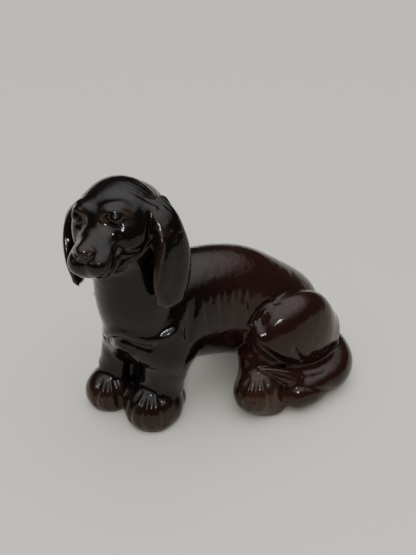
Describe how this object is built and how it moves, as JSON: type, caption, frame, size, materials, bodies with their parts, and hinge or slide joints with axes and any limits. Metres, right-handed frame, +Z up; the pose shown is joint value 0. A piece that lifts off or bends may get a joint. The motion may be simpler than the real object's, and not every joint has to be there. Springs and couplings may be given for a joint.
{
  "type": "ceramic dog figurine",
  "caption": "Glossy brown glazed pottery dog with long drop ears, standing on its forelegs with its haunches down, head turned and tail curled round the left haunch.",
  "frame": {"origin": "centre of the bounding box, on the plane the paws and rump stand on", "axes": "+Z up, the dog faces -Y, +X to the dog's left"},
  "size_m": [0.036, 0.0578, 0.0511],
  "materials": {
    "brown_glaze": "glossy treacle-brown glaze, redder where it is thin",
    "eye_glaze": "glossy near-black glaze"
  },
  "bodies": {
    "root": {"torso": "brown_glaze", "head": "brown_glaze", "nose": "brown_glaze", "left_eye": "eye_glaze", "right_eye": "eye_glaze", "left_ear": "brown_glaze", "right_ear": "brown_glaze", "left_foreleg": "brown_glaze", "right_foreleg": "brown_glaze", "left_forepaw": "brown_glaze", "right_forepaw": "brown_glaze", "left_thigh": "brown_glaze", "right_thigh": "brown_glaze", "left_hind_paw": "brown_glaze", "right_hind_paw": "brown_glaze", "tail": "brown_glaze"}
  },
  "joints": []
}
